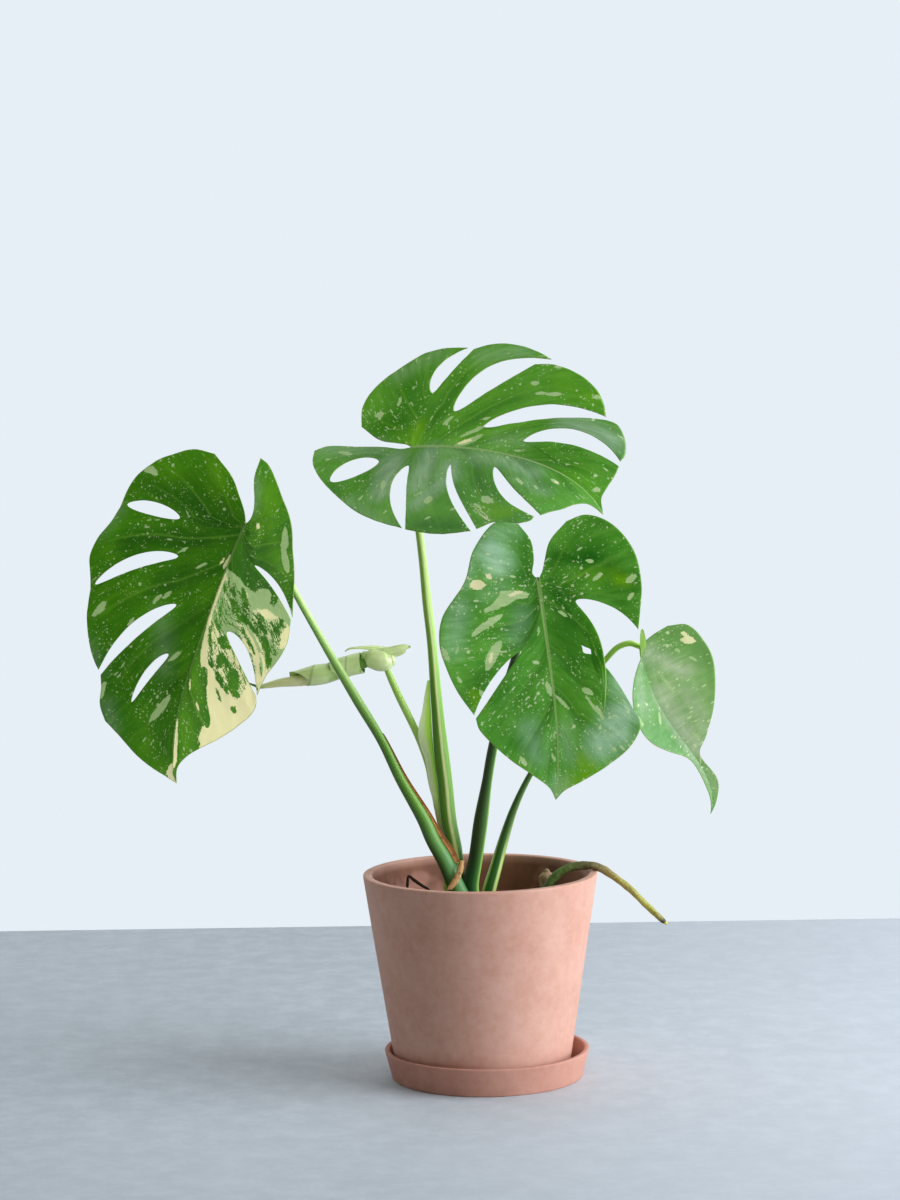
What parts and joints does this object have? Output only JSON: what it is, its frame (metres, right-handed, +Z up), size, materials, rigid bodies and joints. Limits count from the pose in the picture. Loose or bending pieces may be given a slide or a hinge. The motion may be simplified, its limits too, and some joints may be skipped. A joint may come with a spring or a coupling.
{
  "type": "potted houseplant",
  "caption": "Potted monstera houseplant with split variegated leaves on tall stalks, in a plain tapered pot on a shallow saucer.",
  "frame": {"origin": "on the floor under the pot's axis, at the saucer's underside", "axes": "+Z up, -Y towards the front that the picture shows, +X to the viewer's right"},
  "size_m": [0.5298, 0.2402, 0.6221],
  "materials": {
    "pot_clay": "matte",
    "saucer_clay": "matte",
    "soil": "matte",
    "bark": "matte",
    "stalk_green": "satin",
    "stalk_pale": "satin",
    "leaf": "satin",
    "new_leaf": "satin",
    "sheath_pale": "satin",
    "sheath_dry": "matte",
    "root": "matte"
  },
  "bodies": {
    "root": {"saucer": "saucer_clay", "pot": "pot_clay", "soil": "soil", "crown": "bark", "petiole_left": "stalk_green", "petiole_top": "stalk_green", "petiole_front": "stalk_green", "petiole_right": "stalk_pale", "petiole_new": "stalk_pale", "rolled_leaf": "new_leaf", "aerial_root": "root", "root_stub": "bark", "small_root": "bark", "blade_left": "leaf", "blade_top": "leaf", "blade_front": "leaf", "blade_right": "leaf", "sheath_pale": "sheath_pale", "sheath_dry": "sheath_dry"}
  },
  "joints": []
}
